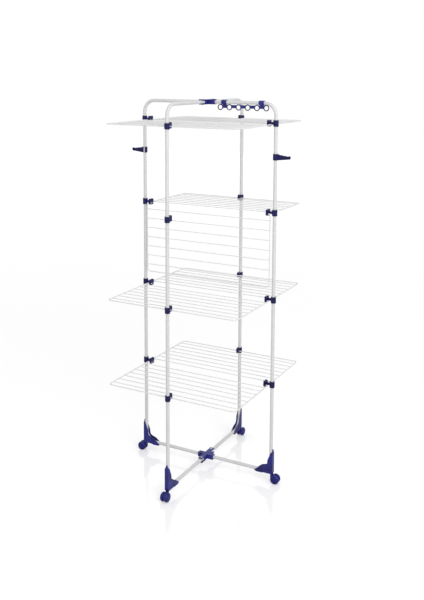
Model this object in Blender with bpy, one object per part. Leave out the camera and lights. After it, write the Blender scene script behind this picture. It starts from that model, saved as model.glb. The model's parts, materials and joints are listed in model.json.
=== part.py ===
"""Tower clothes airer: two crossed tube frames, eight folding wire wings and four castors.

Metres, Z up. The floor is z = 0 and the tower's middle axis is x = y = 0. The main frame stands
in the plane y = 0. The front leg frame (towards -Y) and the rear leg frame fold flat against it.
Each of the four corners is built once, facing +X, and turned to its place.
"""
import math

import bmesh
import bpy
from mathutils import Matrix, Vector

# Fits and counts
CLEARANCE = 0.0003
OVERRUN = 0.004
TUBE_SIDES = 12
BEND_STEPS = 6

# Tube frames: the posts of the main frame stand at x = +-HALF_WIDTH, the leg posts at
# y = +-HALF_DEPTH, and the wheels' stems a little further out
TUBE_RADIUS = 0.008
BEND_RADIUS = 0.055
HALF_WIDTH = 0.344
HALF_DEPTH = 0.362
BASE_HEIGHT = 0.052

# Wings: four levels, each with a front and a rear wing; a wing that hangs down stops
# LEVEL_GAP above the next level, and a raised wing's rod lies ROD_TO_POST inside the leg's post
LEVEL_COUNT = 4
LOWEST_LEVEL = 0.479
LEVEL_GAP = 0.063
TOP_RISE = 0.088
HANGING_LEVEL_NUMBER = 2
JOINT_LEVEL_NUMBER = 3
HINGE_DROP = 0.006
HINGE_OFFSET = 0.009
ROD_TO_POST = 0.014
SIDE_ROD_TO_POST = 0.018
WING_WIRE_RADIUS = 0.0025
WING_CORNER_RADIUS = 0.016
PIN_BEND_RADIUS = 0.004
PIN_END_GAP = 0.004
RUNG_RADIUS = 0.002
RUNG_COUNT = 7
HINGE_TO_RUNG = 0.030
ROD_TO_RUNG = 0.036
RUNG_SIDES = 6
WIRE_BEND_STEPS = 3

# Wing bracket: a collar on the post, a web, and a lug block with a hinge hole for each wing
COLLAR_RADIUS = 0.012
COLLAR_HEIGHT = 0.028
LUG_TO_POST = 0.038
LUG_WIDTH = 0.010
LUG_HALF_DEPTH = 0.0147
WEB_HALF_DEPTH = 0.0035
WEB_HALF_HEIGHT = 0.0055
BUSH_RADIUS = 0.0045
BUSH_SIDES = 10

# Catch on a leg post: a collar and a lobe, with a slot from below that snaps over a wing's rod
CATCH_TOP = 0.015
CATCH_BOTTOM = 0.011
LOBE_TOP = 0.018
LOBE_BOTTOM = 0.009
LOBE_REACH = 0.032
LOBE_SHOULDER = 0.003
LOBE_NECK_TOP = 0.0085
LOBE_HALF_WIDTH = 0.005
ROD_GAP = 0.001

# Hubs: a sleeve on the main frame's tube and a fork for each leg frame
HUB_HALF_HEIGHT = 0.011
HUB_HALF_WIDTH = 0.011
SLEEVE_HALF_LENGTH = 0.041
FORK_REACH = 0.065
PIVOT_OFFSET = 0.050
ARM_TAIL = 0.010
FORK_ROOT_GAP = 0.0007
PIVOT_PIN_RADIUS = 0.003
PIN_HEAD_RADIUS = 0.0055
PIN_HEAD_HEIGHT = 0.0015
NOTCH_RADIUS = 0.005

# Foot bracket: a channel round the tube's bend, open inwards
FOOT_HALF_WIDTH = 0.0102
FOOT_OUTER = 0.0117
FOOT_TOP = 0.166
FOOT_TOP_CHAMFER = 0.008
FOOT_TIP_IN = 0.0095
FOOT_NECK_IN = 0.014
FOOT_NECK_HEIGHT = 0.110
FOOT_KNEE_IN = 0.016
FOOT_KNEE_HEIGHT = 0.083
FOOT_SHOULDER_IN = 0.0495
FOOT_SHOULDER_HEIGHT = 0.0725
FOOT_TOE_IN = 0.083
FOOT_TOE_HEIGHT = 0.0465
FOOT_SOLE_IN = 0.072
FOOT_STEP_IN = 0.044
FOOT_STEP_OUT = 0.036
FOOT_SOLE_WALL = 0.003
FOOT_SPIKE_HALF_WIDTH = 0.0035
FOOT_SPIKE_SWEEP = 0.030
FOOT_SPIKE_SIDES = 48

# Castors: a stem in the foot, a body, and twin wheels on one axle behind the stem
STEM_OUT = 0.005
STEM_RADIUS = 0.004
STEM_LENGTH = 0.012
TRAIL = 0.018
WHEEL_RADIUS = 0.021
WHEEL_WIDTH = 0.014
WHEEL_SIDES = 24
WHEEL_GAP = 0.005
BODY_HALF_THICKNESS = 0.0045
BODY_RADIUS = 0.015
AXLE_RADIUS = 0.003
FOOT_GROUND_GAP = 0.0437
FLANGE_RADIUS = 0.008
FLANGE_HEIGHT = 0.0028

# Hanger arms: snapped round a main post each, for clothes hangers
ARM_DROP = 0.150
ARM_REACH = 0.0715
ARM_ROOT_HEIGHT = 0.0276
ARM_TIP_HEIGHT = 0.0144
ARM_HALF_THICKNESS = 0.003
ARM_TIP_LENGTH = 0.008
ARM_NOTCH_DEPTH = 0.0016
ARM_NOTCH_COUNT = 3
ARM_RING_RADIUS = 0.012
ARM_MOUTH_WIDTH = 0.011

# Hanger rack: a bar of rings clipped under the top tube
RING_COUNT = 6
HUB_TO_RING = 0.025
RING_PAST_BEND = 0.007
RING_DROP = 0.0225
RING_RADIUS = 0.01425
RING_HOLE_RADIUS = 0.0101
RING_SIDES = 16
RING_HALF_THICKNESS = 0.0019
RACK_HALF_THICKNESS = 0.0015
CLIP_WEB_HALF_THICKNESS = 0.0012
CLIP_WEB_HALF_WIDTH = 0.0085
CLIP_WEB_BOTTOM = 0.003
RACK_BAR_TOP = 0.0105
RACK_BAR_BOTTOM = -0.004
CLIP_RADIUS = 0.011
CLIP_HALF_WIDTH = 0.0125
CLIP_FROM_ENDS = 0.0213

# Colour, roughness and metallic value of each material
POWDER_COAT = ("white powder coat", (0.68, 0.69, 0.70), 0.40, 0.0)
BLUE_PLASTIC = ("blue plastic", (0.020, 0.018, 0.14), 0.38, 0.0)
BUSH_PLASTIC = ("bush plastic", (0.030, 0.028, 0.18), 0.45, 0.0)
STEEL = ("zinc plated steel", (0.60, 0.60, 0.60), 0.30, 1.0)

LEG_REACH = HALF_DEPTH - PIVOT_OFFSET
WING_REACH = HALF_DEPTH - ROD_TO_POST - HINGE_OFFSET
WING_HALF_WIDTH = HALF_WIDTH - SIDE_ROD_TO_POST
RUNG_PITCH = (WING_REACH - HINGE_TO_RUNG - ROD_TO_RUNG) / (RUNG_COUNT - 1)
LUG_INNER_X = HALF_WIDTH - LUG_TO_POST
PIN_INNER_X = LUG_INNER_X + PIN_END_GAP
LEVEL_PITCH = WING_REACH + LEVEL_GAP
LEVELS = [LOWEST_LEVEL + LEVEL_PITCH * step for step in reversed(range(LEVEL_COUNT))]
HINGE_HEIGHTS = [level - HINGE_DROP for level in LEVELS]
TOP_HEIGHT = LEVELS[0] + TOP_RISE
ARM_HEIGHT = LEVELS[0] - ARM_DROP
RACK_START = SLEEVE_HALF_LENGTH + HUB_TO_RING
RACK_LENGTH = HALF_WIDTH - BEND_RADIUS + RING_PAST_BEND - RACK_START
SIDES = {"left": math.pi, "right": 0.0}
ENDS = {"front": -1, "rear": 1}


def start_scene():
    """Empty the scene and give back the collection that holds the airer."""
    for old in list(bpy.data.objects):
        bpy.data.objects.remove(old, do_unlink=True)
    collection = bpy.data.collections.new("tower_clothes_airer")
    bpy.context.scene.collection.children.link(collection)
    return collection


def principled(spec):
    """A Principled BSDF material for one of the finishes."""
    name, colour, roughness, metallic = spec
    if name in bpy.data.materials:
        return bpy.data.materials[name]
    material = bpy.data.materials.new(name)
    material.use_nodes = True
    shader = material.node_tree.nodes["Principled BSDF"]
    shader.inputs["Base Color"].default_value = (*colour, 1)
    shader.inputs["Roughness"].default_value = roughness
    shader.inputs["Metallic"].default_value = metallic
    material.diffuse_color = (*colour, 1)
    return material


def helper(mesh):
    """A construction object that solid() uses up."""
    item = bpy.data.objects.new("construction", mesh)
    item.hide_render = True
    item.display_type = "WIRE"
    bpy.context.scene.collection.objects.link(item)
    return item


def from_bmesh(shape):
    mesh = bpy.data.meshes.new("construction")
    shape.to_mesh(mesh)
    shape.free()
    return helper(mesh)


def box(low, high):
    """A box between two corners."""
    low, high = Vector(low), Vector(high)
    shape = bmesh.new()
    bmesh.ops.create_cube(shape, size=1)
    bmesh.ops.scale(shape, vec=high - low, verts=shape.verts)
    bmesh.ops.translate(shape, vec=(low + high) / 2, verts=shape.verts)
    return from_bmesh(shape)


def rod(start, end, radius, sides):
    """A round bar between two points."""
    start, end = Vector(start), Vector(end)
    turn = (end - start).to_track_quat("Z", "Y").to_matrix().to_4x4()
    shape = bmesh.new()
    bmesh.ops.create_cone(shape, cap_ends=True, segments=sides, radius1=radius, radius2=radius,
                          depth=(end - start).length,
                          matrix=Matrix.Translation((start + end) / 2) @ turn)
    return from_bmesh(shape)


def bore(start, end, radius, sides=TUBE_SIDES):
    """A cutter whose flats stay one clearance off a bar of this radius."""
    return rod(start, end, (radius + CLEARANCE) / math.cos(math.pi / sides), sides)


def curve_mesh(curve):
    """The closed mesh of a curve, with its caps welded on."""
    item = bpy.data.objects.new("construction", curve)
    bpy.context.scene.collection.objects.link(item)
    graph = bpy.context.evaluated_depsgraph_get()
    mesh = bpy.data.meshes.new_from_object(item.evaluated_get(graph))
    mesh.transform(item.matrix_world)
    bpy.data.objects.remove(item, do_unlink=True)
    shape = bmesh.new()
    shape.from_mesh(mesh)
    bmesh.ops.remove_doubles(shape, verts=shape.verts, dist=CLEARANCE / 10)
    bmesh.ops.recalc_face_normals(shape, faces=shape.faces)
    shape.to_mesh(mesh)
    shape.free()
    return mesh


def spline_curve(points, closed):
    curve = bpy.data.curves.new("construction", "CURVE")
    spline = curve.splines.new("POLY")
    spline.points.add(len(points) - 1)
    for target, point in zip(spline.points, points):
        target.co = (*point, 1)
    spline.use_cyclic_u = closed
    return curve


def tube(points, radius, resolution):
    """A round tube along a line of points."""
    curve = spline_curve(points, False)
    curve.dimensions = "3D"
    curve.bevel_depth = radius
    curve.bevel_resolution = resolution
    curve.use_fill_caps = True
    return helper(curve_mesh(curve))


def plate(outline, half_thickness):
    """A flat plate whose outline lies in the X-Z plane."""
    curve = spline_curve([(x, z, 0) for x, z in outline], True)
    curve.dimensions = "2D"
    curve.fill_mode = "BOTH"
    curve.extrude = half_thickness
    mesh = curve_mesh(curve)
    mesh.transform(Matrix.Rotation(math.pi / 2, 4, "X"))
    return helper(mesh)


def rounded(corners, radii, steps):
    """The corner points with an arc of the given radius at each inner one."""
    corners = [Vector(corner) for corner in corners]
    points = [corners[0]]
    for before, corner, after, radius in zip(corners, corners[1:], corners[2:], radii):
        towards = (before - corner).normalized()
        onwards = (after - corner).normalized()
        half = towards.angle(onwards) / 2
        centre = corner + (towards + onwards).normalized() * radius / math.sin(half)
        first = corner + towards * radius / math.tan(half) - centre
        last = corner + onwards * radius / math.tan(half) - centre
        for step in range(steps + 1):
            points.append(centre + first.slerp(last, step / steps).normalized() * radius)
    return points + [corners[-1]]


def solid(pieces, cutters=()):
    """One closed mesh: the union of the pieces, less the cutters."""
    base = pieces[0]
    for operation, group in (("UNION", pieces[1:]), ("DIFFERENCE", cutters)):
        for item in group:
            step = base.modifiers.new(operation, "BOOLEAN")
            step.operation = operation
            step.solver = "EXACT"
            step.object = item
    graph = bpy.context.evaluated_depsgraph_get()
    mesh = bpy.data.meshes.new_from_object(base.evaluated_get(graph))
    for item in [*pieces, *cutters]:
        bpy.data.objects.remove(item, do_unlink=True)
    return mesh


def finish(mesh, spec):
    """Give a mesh its material and smooth shading on its round faces."""
    mesh.materials.clear()
    mesh.materials.append(principled(spec))
    mesh.shade_smooth()
    mesh.set_sharp_from_angle(angle=math.radians(40))
    return mesh


def empty(collection, name, location, turn):
    """A parent that carries a frame's pieces, on the frame's axis."""
    item = bpy.data.objects.new(name, None)
    item.location = location
    item.rotation_euler = (0, 0, turn)
    collection.objects.link(item)
    return item


def place(collection, name, mesh, location=(0, 0, 0), rotation=(0, 0, 0), parent=None):
    """A named sub-part."""
    item = bpy.data.objects.new(name, mesh)
    item.location = location
    item.rotation_euler = rotation
    item.parent = parent
    collection.objects.link(item)
    return item


def frame_tube(corners):
    """A frame's tube with every corner bent to the common radius."""
    path = rounded(corners, [BEND_RADIUS] * (len(corners) - 2), BEND_STEPS)
    return tube(path, TUBE_RADIUS, (TUBE_SIDES - 4) // 2)


def main_hoop(level, leg_end):
    """A hoop of the main frame, from post to post, open below or above."""
    corners = [(-HALF_WIDTH, 0, leg_end), (-HALF_WIDTH, 0, level),
               (HALF_WIDTH, 0, level), (HALF_WIDTH, 0, leg_end)]
    return solid([frame_tube(corners)])


def leg_tube(level, leg_end):
    """A leg frame's arm and bend, with its pivot hole, in the leg's own frame."""
    arm = frame_tube([(-ARM_TAIL, 0, level), (LEG_REACH, 0, level), (LEG_REACH, 0, leg_end)])
    reach = TUBE_RADIUS + OVERRUN
    hole = bore((0, 0, level - reach), (0, 0, level + reach), PIVOT_PIN_RADIUS)
    return solid([arm], [hole])


def hub():
    """The cross piece that the main tube runs through, with a fork at each side."""
    height = HUB_HALF_HEIGHT
    sleeve = box((-SLEEVE_HALF_LENGTH, -HUB_HALF_WIDTH, -height),
                 (SLEEVE_HALF_LENGTH, HUB_HALF_WIDTH, height))
    forks = box((-HUB_HALF_WIDTH, -FORK_REACH, -height), (HUB_HALF_WIDTH, FORK_REACH, height))
    reach = SLEEVE_HALF_LENGTH + OVERRUN
    cuts = [bore((-reach, 0, 0), (reach, 0, 0), TUBE_RADIUS)]
    tail_sweep = math.hypot(ARM_TAIL, TUBE_RADIUS)
    root = PIVOT_OFFSET - tail_sweep - FORK_ROOT_GAP
    slot = TUBE_RADIUS + CLEARANCE
    side = HUB_HALF_WIDTH + OVERRUN
    top = height + OVERRUN
    for way in ENDS.values():
        near, far = sorted((way * root, way * (FORK_REACH + OVERRUN)))
        cuts.append(box((-side, near, -slot), (side, far, slot)))
        pivot = way * PIVOT_OFFSET
        cuts.append(bore((0, pivot, -top), (0, pivot, top), PIVOT_PIN_RADIUS))
        end = way * (FORK_REACH + NOTCH_RADIUS / 2)
        cuts.append(rod((0, end, -top), (0, end, top), NOTCH_RADIUS, TUBE_SIDES))
    return finish(solid([sleeve, forks], cuts), BLUE_PLASTIC)


def pivot_pin():
    """A rivet with two heads, on which a leg frame swings in a hub's fork."""
    end = HUB_HALF_HEIGHT + CLEARANCE
    shaft_end = end + PIN_HEAD_HEIGHT / 2
    parts = [rod((0, 0, -shaft_end), (0, 0, shaft_end), PIVOT_PIN_RADIUS, TUBE_SIDES)]
    for way in ENDS.values():
        far = way * (end + PIN_HEAD_HEIGHT)
        parts.append(rod((0, 0, way * end), (0, 0, far), PIN_HEAD_RADIUS, TUBE_SIDES))
    return finish(solid(parts), STEEL)


def foot_bracket():
    """The channel over a tube's bend, with a blind hole below for the castor's stem."""
    ground = FOOT_GROUND_GAP
    sole = BASE_HEIGHT - TUBE_RADIUS - CLEARANCE - FOOT_SOLE_WALL
    outline = [(FOOT_OUTER, ground), (FOOT_OUTER, FOOT_TOP - FOOT_TOP_CHAMFER),
               (FOOT_TIP_IN, FOOT_TOP), (-FOOT_NECK_IN, FOOT_NECK_HEIGHT),
               (-FOOT_KNEE_IN, FOOT_KNEE_HEIGHT), (-FOOT_SHOULDER_IN, FOOT_SHOULDER_HEIGHT),
               (-FOOT_TOE_IN, FOOT_TOE_HEIGHT), (-FOOT_SOLE_IN, sole),
               (-FOOT_STEP_IN, sole), (-FOOT_STEP_OUT, ground)]
    wall = TUBE_RADIUS + CLEARANCE
    channel = rounded([(wall, FOOT_TOP + OVERRUN, 0), (wall, BASE_HEIGHT - wall, 0),
                       (-FOOT_TOE_IN - OVERRUN, BASE_HEIGHT - wall, 0)],
                      [BEND_RADIUS + wall], BEND_STEPS)
    channel = [(point.x, point.y) for point in channel]
    channel.append((-FOOT_TOE_IN - OVERRUN, FOOT_TOP + OVERRUN))
    stem_top = ground + STEM_LENGTH + CLEARANCE
    hole = bore((STEM_OUT, 0, ground - OVERRUN), (STEM_OUT, 0, stem_top), STEM_RADIUS)
    cuts = [plate(channel, wall), hole]
    side = FOOT_SPIKE_HALF_WIDTH + FOOT_SPIKE_SWEEP
    far = FOOT_TOE_IN + OVERRUN
    for way in ENDS.values():
        cuts.append(rod((-far, way * side, FOOT_TOP), (far, way * side, FOOT_TOP), FOOT_SPIKE_SWEEP,
                        FOOT_SPIKE_SIDES))
    return finish(solid([plate(outline, FOOT_HALF_WIDTH)], cuts), BLUE_PLASTIC)


def wing_bracket(hinge_radius):
    """A collar on a post with the lug block in which a front and a rear wing hinge."""
    half = COLLAR_HEIGHT / 2
    lug_in = LUG_INNER_X - HALF_WIDTH
    lug_out = lug_in + LUG_WIDTH
    collar = rod((0, 0, -half), (0, 0, half), COLLAR_RADIUS, TUBE_SIDES)
    web = box((lug_out - LUG_WIDTH / 2, -WEB_HALF_DEPTH, -WEB_HALF_HEIGHT),
              (-TUBE_RADIUS, WEB_HALF_DEPTH, WEB_HALF_HEIGHT))
    lug = box((lug_in, -LUG_HALF_DEPTH, -half), (lug_out, LUG_HALF_DEPTH, half))
    far = half + OVERRUN
    cuts = [bore((0, 0, -far), (0, 0, far), TUBE_RADIUS)]
    for way in ENDS.values():
        axis = (way * HINGE_OFFSET, -HINGE_DROP)
        cuts.append(bore((lug_in - OVERRUN, *axis), (lug_out + OVERRUN / 2, *axis), hinge_radius))
    return finish(solid([lug, web, collar], cuts), BLUE_PLASTIC)


def hinge_bush():
    """The bush of a wing's left pin, on the wing's own hinge line."""
    start = -LUG_INNER_X - CLEARANCE
    end = -LUG_INNER_X - LUG_WIDTH + CLEARANCE
    sleeve = rod((start, 0, 0), (end, 0, 0), BUSH_RADIUS, BUSH_SIDES)
    hole = bore((start + OVERRUN, 0, 0), (end - OVERRUN, 0, 0), WING_WIRE_RADIUS, BUSH_SIDES)
    return finish(solid([sleeve], [hole]), BUSH_PLASTIC)


def wing():
    """A wire frame with seven rungs; its hinge line is X and it reaches towards -Y."""
    width = WING_HALF_WIDTH
    corners = [(-PIN_INNER_X, 0, 0), (-width, 0, 0), (-width, -WING_REACH, 0),
               (width, -WING_REACH, 0), (width, 0, 0), (PIN_INNER_X, 0, 0)]
    radii = [PIN_BEND_RADIUS, WING_CORNER_RADIUS, WING_CORNER_RADIUS, PIN_BEND_RADIUS]
    frame = tube(rounded(corners, radii, WIRE_BEND_STEPS), WING_WIRE_RADIUS, 1)
    rungs = []
    for number in range(RUNG_COUNT):
        reach = -HINGE_TO_RUNG - number * RUNG_PITCH
        rungs.append(rod((-width, reach, 0), (width, reach, 0), RUNG_RADIUS, RUNG_SIDES))
    return finish(solid([frame, *rungs]), POWDER_COAT)


def catch():
    """A collar on a leg post and a lobe that snaps over a raised wing's outer rod.

    Its height zero is the rod's, and the tower's middle is towards -X.
    """
    rod_in = ROD_TO_POST
    half_slot = WING_WIRE_RADIUS + ROD_GAP
    collar = rod((0, 0, -CATCH_BOTTOM), (0, 0, CATCH_TOP), COLLAR_RADIUS, TUBE_SIDES)
    neck_in = rod_in + half_slot
    shoulder = LOBE_REACH - LOBE_SHOULDER
    outline = [(-TUBE_RADIUS, LOBE_NECK_TOP), (-neck_in, LOBE_NECK_TOP), (-neck_in, LOBE_TOP),
               (-shoulder, LOBE_TOP), (-LOBE_REACH, LOBE_TOP - LOBE_SHOULDER),
               (-LOBE_REACH, LOBE_SHOULDER - LOBE_BOTTOM), (-shoulder, -LOBE_BOTTOM),
               (-TUBE_RADIUS, -LOBE_BOTTOM)]
    lobe = plate(outline, LOBE_HALF_WIDTH)
    side = COLLAR_RADIUS
    slot = box((-rod_in - half_slot, -side, -CATCH_BOTTOM - OVERRUN),
               (-rod_in + half_slot, side, half_slot))
    post = bore((0, 0, -CATCH_BOTTOM - OVERRUN), (0, 0, CATCH_TOP + OVERRUN), TUBE_RADIUS)
    return finish(solid([collar, lobe], [slot, post]), BLUE_PLASTIC)


def hanger_arm():
    """A tapered arm on a snap ring, notched on top for the hooks of clothes hangers."""
    root, tip = ARM_ROOT_HEIGHT / 2, ARM_TIP_HEIGHT / 2
    start = TUBE_RADIUS + CLEARANCE
    flat_end = ARM_REACH - ARM_TIP_LENGTH
    slope_start = ARM_RING_RADIUS
    outline = [(start, -root), (slope_start, -root), (ARM_REACH, -tip), (ARM_REACH, tip),
               (flat_end, tip)]
    pitch = (flat_end - slope_start) / ARM_NOTCH_COUNT
    for number in range(ARM_NOTCH_COUNT):
        outer = flat_end - number * pitch
        share = (outer - slope_start) / (flat_end - slope_start)
        top = root + (tip - root) * share
        outline.append((outer, top - ARM_NOTCH_DEPTH))
        outline.append((outer - pitch / 2, top - ARM_NOTCH_DEPTH))
    outline += [(slope_start, root), (start, root)]
    ring = rod((0, 0, -root), (0, 0, root), ARM_RING_RADIUS, TUBE_SIDES)
    far = root + OVERRUN
    post = bore((0, 0, -far), (0, 0, far), TUBE_RADIUS)
    half_mouth = ARM_MOUTH_WIDTH / 2
    mouth = box((-half_mouth, 0, -far), (half_mouth, ARM_RING_RADIUS + OVERRUN, far))
    return finish(solid([ring, plate(outline, ARM_HALF_THICKNESS)], [post, mouth]), BLUE_PLASTIC)


def hanger_rack():
    """Six rings under a scalloped bar, with two clips round the top tube, about that tube."""
    length = RACK_LENGTH
    bar_end = length / 2 + RING_RADIUS / 2
    parts = [box((-bar_end, -RACK_HALF_THICKNESS, -RING_DROP + RACK_BAR_BOTTOM),
                 (bar_end, RACK_HALF_THICKNESS, -RING_DROP + RACK_BAR_TOP))]
    cuts = []
    for number in range(RING_COUNT):
        x = length * number / (RING_COUNT - 1) - length / 2
        half = RING_HALF_THICKNESS
        parts.append(rod((x, -half, -RING_DROP), (x, half, -RING_DROP), RING_RADIUS, RING_SIDES))
        far = half + OVERRUN
        cuts.append(rod((x, -far, -RING_DROP), (x, far, -RING_DROP), RING_HOLE_RADIUS, RING_SIDES))
    cuts.append(box((-length, -CLIP_RADIUS, -RING_DROP + RACK_BAR_TOP), (length, CLIP_RADIUS, 0)))
    parts = [helper(solid(parts, cuts))]
    for way in (-1, 1):
        x = way * (length / 2 - CLIP_FROM_ENDS)
        parts.append(rod((x - CLIP_HALF_WIDTH, 0, 0), (x + CLIP_HALF_WIDTH, 0, 0), CLIP_RADIUS,
                         TUBE_SIDES))
        web, low = CLIP_WEB_HALF_WIDTH, CLIP_WEB_BOTTOM - RING_DROP
        parts.append(box((x - web, -CLIP_WEB_HALF_THICKNESS, low),
                         (x + web, CLIP_WEB_HALF_THICKNESS, -TUBE_RADIUS)))
    tube_hole = bore((-bar_end - OVERRUN, 0, 0), (bar_end + OVERRUN, 0, 0), TUBE_RADIUS)
    return finish(solid(parts, [tube_hole]), BLUE_PLASTIC)


def castor_body():
    """The plate between the twin wheels, with the flange and stem that turn in the foot."""
    top = FOOT_GROUND_GAP - CLEARANCE
    half = BODY_HALF_THICKNESS
    disc = rod((TRAIL, -half, WHEEL_RADIUS), (TRAIL, half, WHEEL_RADIUS), BODY_RADIUS, TUBE_SIDES)
    neck = box((-STEM_RADIUS, -half, WHEEL_RADIUS - AXLE_RADIUS), (TRAIL, half, top - FLANGE_HEIGHT))
    flange = rod((0, 0, top - FLANGE_HEIGHT), (0, 0, top), FLANGE_RADIUS, TUBE_SIDES)
    core = rod((0, 0, WHEEL_RADIUS), (0, 0, FOOT_GROUND_GAP + STEM_LENGTH), STEM_RADIUS, TUBE_SIDES)
    far = half + OVERRUN
    hole = bore((TRAIL, -far, WHEEL_RADIUS), (TRAIL, far, WHEEL_RADIUS), AXLE_RADIUS)
    return finish(solid([disc, neck, flange, core], [hole]), BLUE_PLASTIC)


def castor_wheels():
    """Two wheels on one axle, about the axle's middle, with a flat facet on the floor."""
    corner_radius = WHEEL_RADIUS / math.cos(math.pi / WHEEL_SIDES)
    far = WHEEL_GAP + WHEEL_WIDTH
    parts = [rod((0, -far + OVERRUN, 0), (0, far - OVERRUN, 0), AXLE_RADIUS, TUBE_SIDES)]
    for way in (-1, 1):
        wheel = rod((0, way * WHEEL_GAP, 0), (0, way * far, 0), corner_radius, WHEEL_SIDES)
        parts.append(wheel)
    mesh = solid(parts)
    lowest = min(vertex.co.z for vertex in mesh.vertices)
    turn = 0.0 if abs(lowest + WHEEL_RADIUS) < CLEARANCE / 10 else math.pi / WHEEL_SIDES
    mesh.transform(Matrix.Rotation(turn, 4, "Y"))
    return finish(mesh, BLUE_PLASTIC)


def build_main_frame(collection):
    """The rigid frame in the plane y = 0, its hubs, pins and wing brackets."""
    joint = LEVELS[JOINT_LEVEL_NUMBER - 1]
    gap = CLEARANCE / 2
    main = empty(collection, "main_frame", (0, 0, 0), 0)
    top_hoop = finish(main_hoop(TOP_HEIGHT, joint + gap), POWDER_COAT)
    base_hoop = finish(main_hoop(BASE_HEIGHT, joint - gap), POWDER_COAT)
    place(collection, "main_top_hoop", top_hoop, parent=main)
    place(collection, "main_base_hoop", base_hoop, parent=main)
    cross = hub()
    pin = pivot_pin()
    for level, height in (("top", TOP_HEIGHT), ("base", BASE_HEIGHT)):
        place(collection, f"{level}_hub", cross, (0, 0, height), parent=main)
        for end, way in ENDS.items():
            place(collection, f"{end}_{level}_pivot_pin", pin, (0, way * PIVOT_OFFSET, height),
                  parent=main)
    hinges = {"left": BUSH_RADIUS, "right": WING_WIRE_RADIUS}
    for side, turn in SIDES.items():
        bracket = wing_bracket(hinges[side])
        x = HALF_WIDTH * math.cos(turn)
        for number, height in enumerate(LEVELS, 1):
            place(collection, f"{side}_wing_bracket_{number}", bracket, (x, 0, height),
                  (0, 0, turn), main)
    return main


def build_leg(collection, end, way):
    """A leg frame that swings on the hubs' pins, with its four catches."""
    joint = HINGE_HEIGHTS[JOINT_LEVEL_NUMBER - 1] - (CATCH_BOTTOM - CATCH_TOP) / 2
    gap = CLEARANCE / 2
    leg = empty(collection, f"{end}_leg", (0, way * PIVOT_OFFSET, 0), way * math.pi / 2)
    top_tube = finish(leg_tube(TOP_HEIGHT, joint + gap), POWDER_COAT)
    base_tube = finish(leg_tube(BASE_HEIGHT, joint - gap), POWDER_COAT)
    place(collection, f"{end}_leg_top_tube", top_tube, parent=leg)
    place(collection, f"{end}_leg_base_tube", base_tube, parent=leg)
    holder = catch()
    for number, height in enumerate(HINGE_HEIGHTS, 1):
        place(collection, f"{end}_catch_{number}", holder, (LEG_REACH, 0, height), parent=leg)
    return leg


def build_wings(collection):
    """Eight wings on their bushes; the front wing of the second level hangs down."""
    wing_mesh = wing()
    bush_mesh = hinge_bush()
    for end, way in ENDS.items():
        turn = 0.0 if end == "front" else math.pi
        for number, height in enumerate(HINGE_HEIGHTS, 1):
            hangs = end == "front" and number == HANGING_LEVEL_NUMBER
            tilt = math.pi / 2 if hangs else 0.0
            location = (0, way * HINGE_OFFSET, height)
            place(collection, f"{end}_wing_{number}", wing_mesh, location, (tilt, 0, turn))
            place(collection, f"{end}_wing_bush_{number}", bush_mesh, location)


def build_feet(collection, corners):
    """A foot bracket and a castor under each post."""
    bracket = foot_bracket()
    body = castor_body()
    wheels = castor_wheels()
    for name, (parent, reach, turn) in corners.items():
        out = Vector((math.cos(turn), math.sin(turn), 0))
        rotation = (0, 0, turn)
        place(collection, f"{name}_foot_bracket", bracket, out * reach, rotation, parent)
        stem = out * (reach + STEM_OUT)
        place(collection, f"{name}_castor_body", body, stem, rotation, parent)
        axle = out * (reach + STEM_OUT + TRAIL) + Vector((0, 0, WHEEL_RADIUS))
        place(collection, f"{name}_castor_wheels", wheels, axle, rotation, parent)


def build_hanger_parts(collection):
    """The two hanger arms on the main posts and the rack under the top tube."""
    arm = hanger_arm()
    for side, turn in SIDES.items():
        location = (HALF_WIDTH * math.cos(turn), 0, ARM_HEIGHT)
        place(collection, f"{side}_hanger_arm", arm, location, (0, 0, turn))
    middle = RACK_START + RACK_LENGTH / 2
    place(collection, "hanger_rack", hanger_rack(), (middle, 0, TOP_HEIGHT))


def main():
    collection = start_scene()
    frame = build_main_frame(collection)
    legs = {end: build_leg(collection, end, way) for end, way in ENDS.items()}
    build_wings(collection)
    corners = {"left": (frame, HALF_WIDTH, math.pi), "right": (frame, HALF_WIDTH, 0.0),
               "front": (legs["front"], LEG_REACH, 0.0), "rear": (legs["rear"], LEG_REACH, 0.0)}
    build_feet(collection, corners)
    build_hanger_parts(collection)
    bpy.context.view_layer.update()


main()
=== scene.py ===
# %% [markdown]
# # A tower clothes airer
#
# The airer is two crossed frames of white powder-coated tube on four blue castors. Eight wire wings
# hinge on the main frame's posts, and catches on the leg frames hold their outer rods. The packed
# model gives the place of every part, so each piece here is built about its own hinge, post or axle
# and then set where the model says. Lengths are metres and Z is up.

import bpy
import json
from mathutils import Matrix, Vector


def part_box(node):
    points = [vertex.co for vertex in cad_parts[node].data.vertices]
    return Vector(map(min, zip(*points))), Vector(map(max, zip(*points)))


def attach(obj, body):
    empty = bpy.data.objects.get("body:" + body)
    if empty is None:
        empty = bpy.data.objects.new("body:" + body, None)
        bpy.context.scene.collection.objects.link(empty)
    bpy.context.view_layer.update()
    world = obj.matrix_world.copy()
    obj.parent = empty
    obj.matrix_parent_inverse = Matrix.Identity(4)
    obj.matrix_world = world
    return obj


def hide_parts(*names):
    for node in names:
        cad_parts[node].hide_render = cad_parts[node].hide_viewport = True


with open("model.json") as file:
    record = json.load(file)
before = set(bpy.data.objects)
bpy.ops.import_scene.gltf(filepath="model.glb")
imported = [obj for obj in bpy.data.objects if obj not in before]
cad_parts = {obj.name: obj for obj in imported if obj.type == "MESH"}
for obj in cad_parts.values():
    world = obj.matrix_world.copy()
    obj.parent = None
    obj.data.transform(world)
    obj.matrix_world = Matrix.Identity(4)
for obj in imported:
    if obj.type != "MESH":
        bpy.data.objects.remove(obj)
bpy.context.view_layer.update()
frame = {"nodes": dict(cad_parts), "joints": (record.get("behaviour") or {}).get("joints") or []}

# %% Tools and places
import json
import math

import bmesh
import bpy
from mathutils import Matrix, Vector

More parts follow.
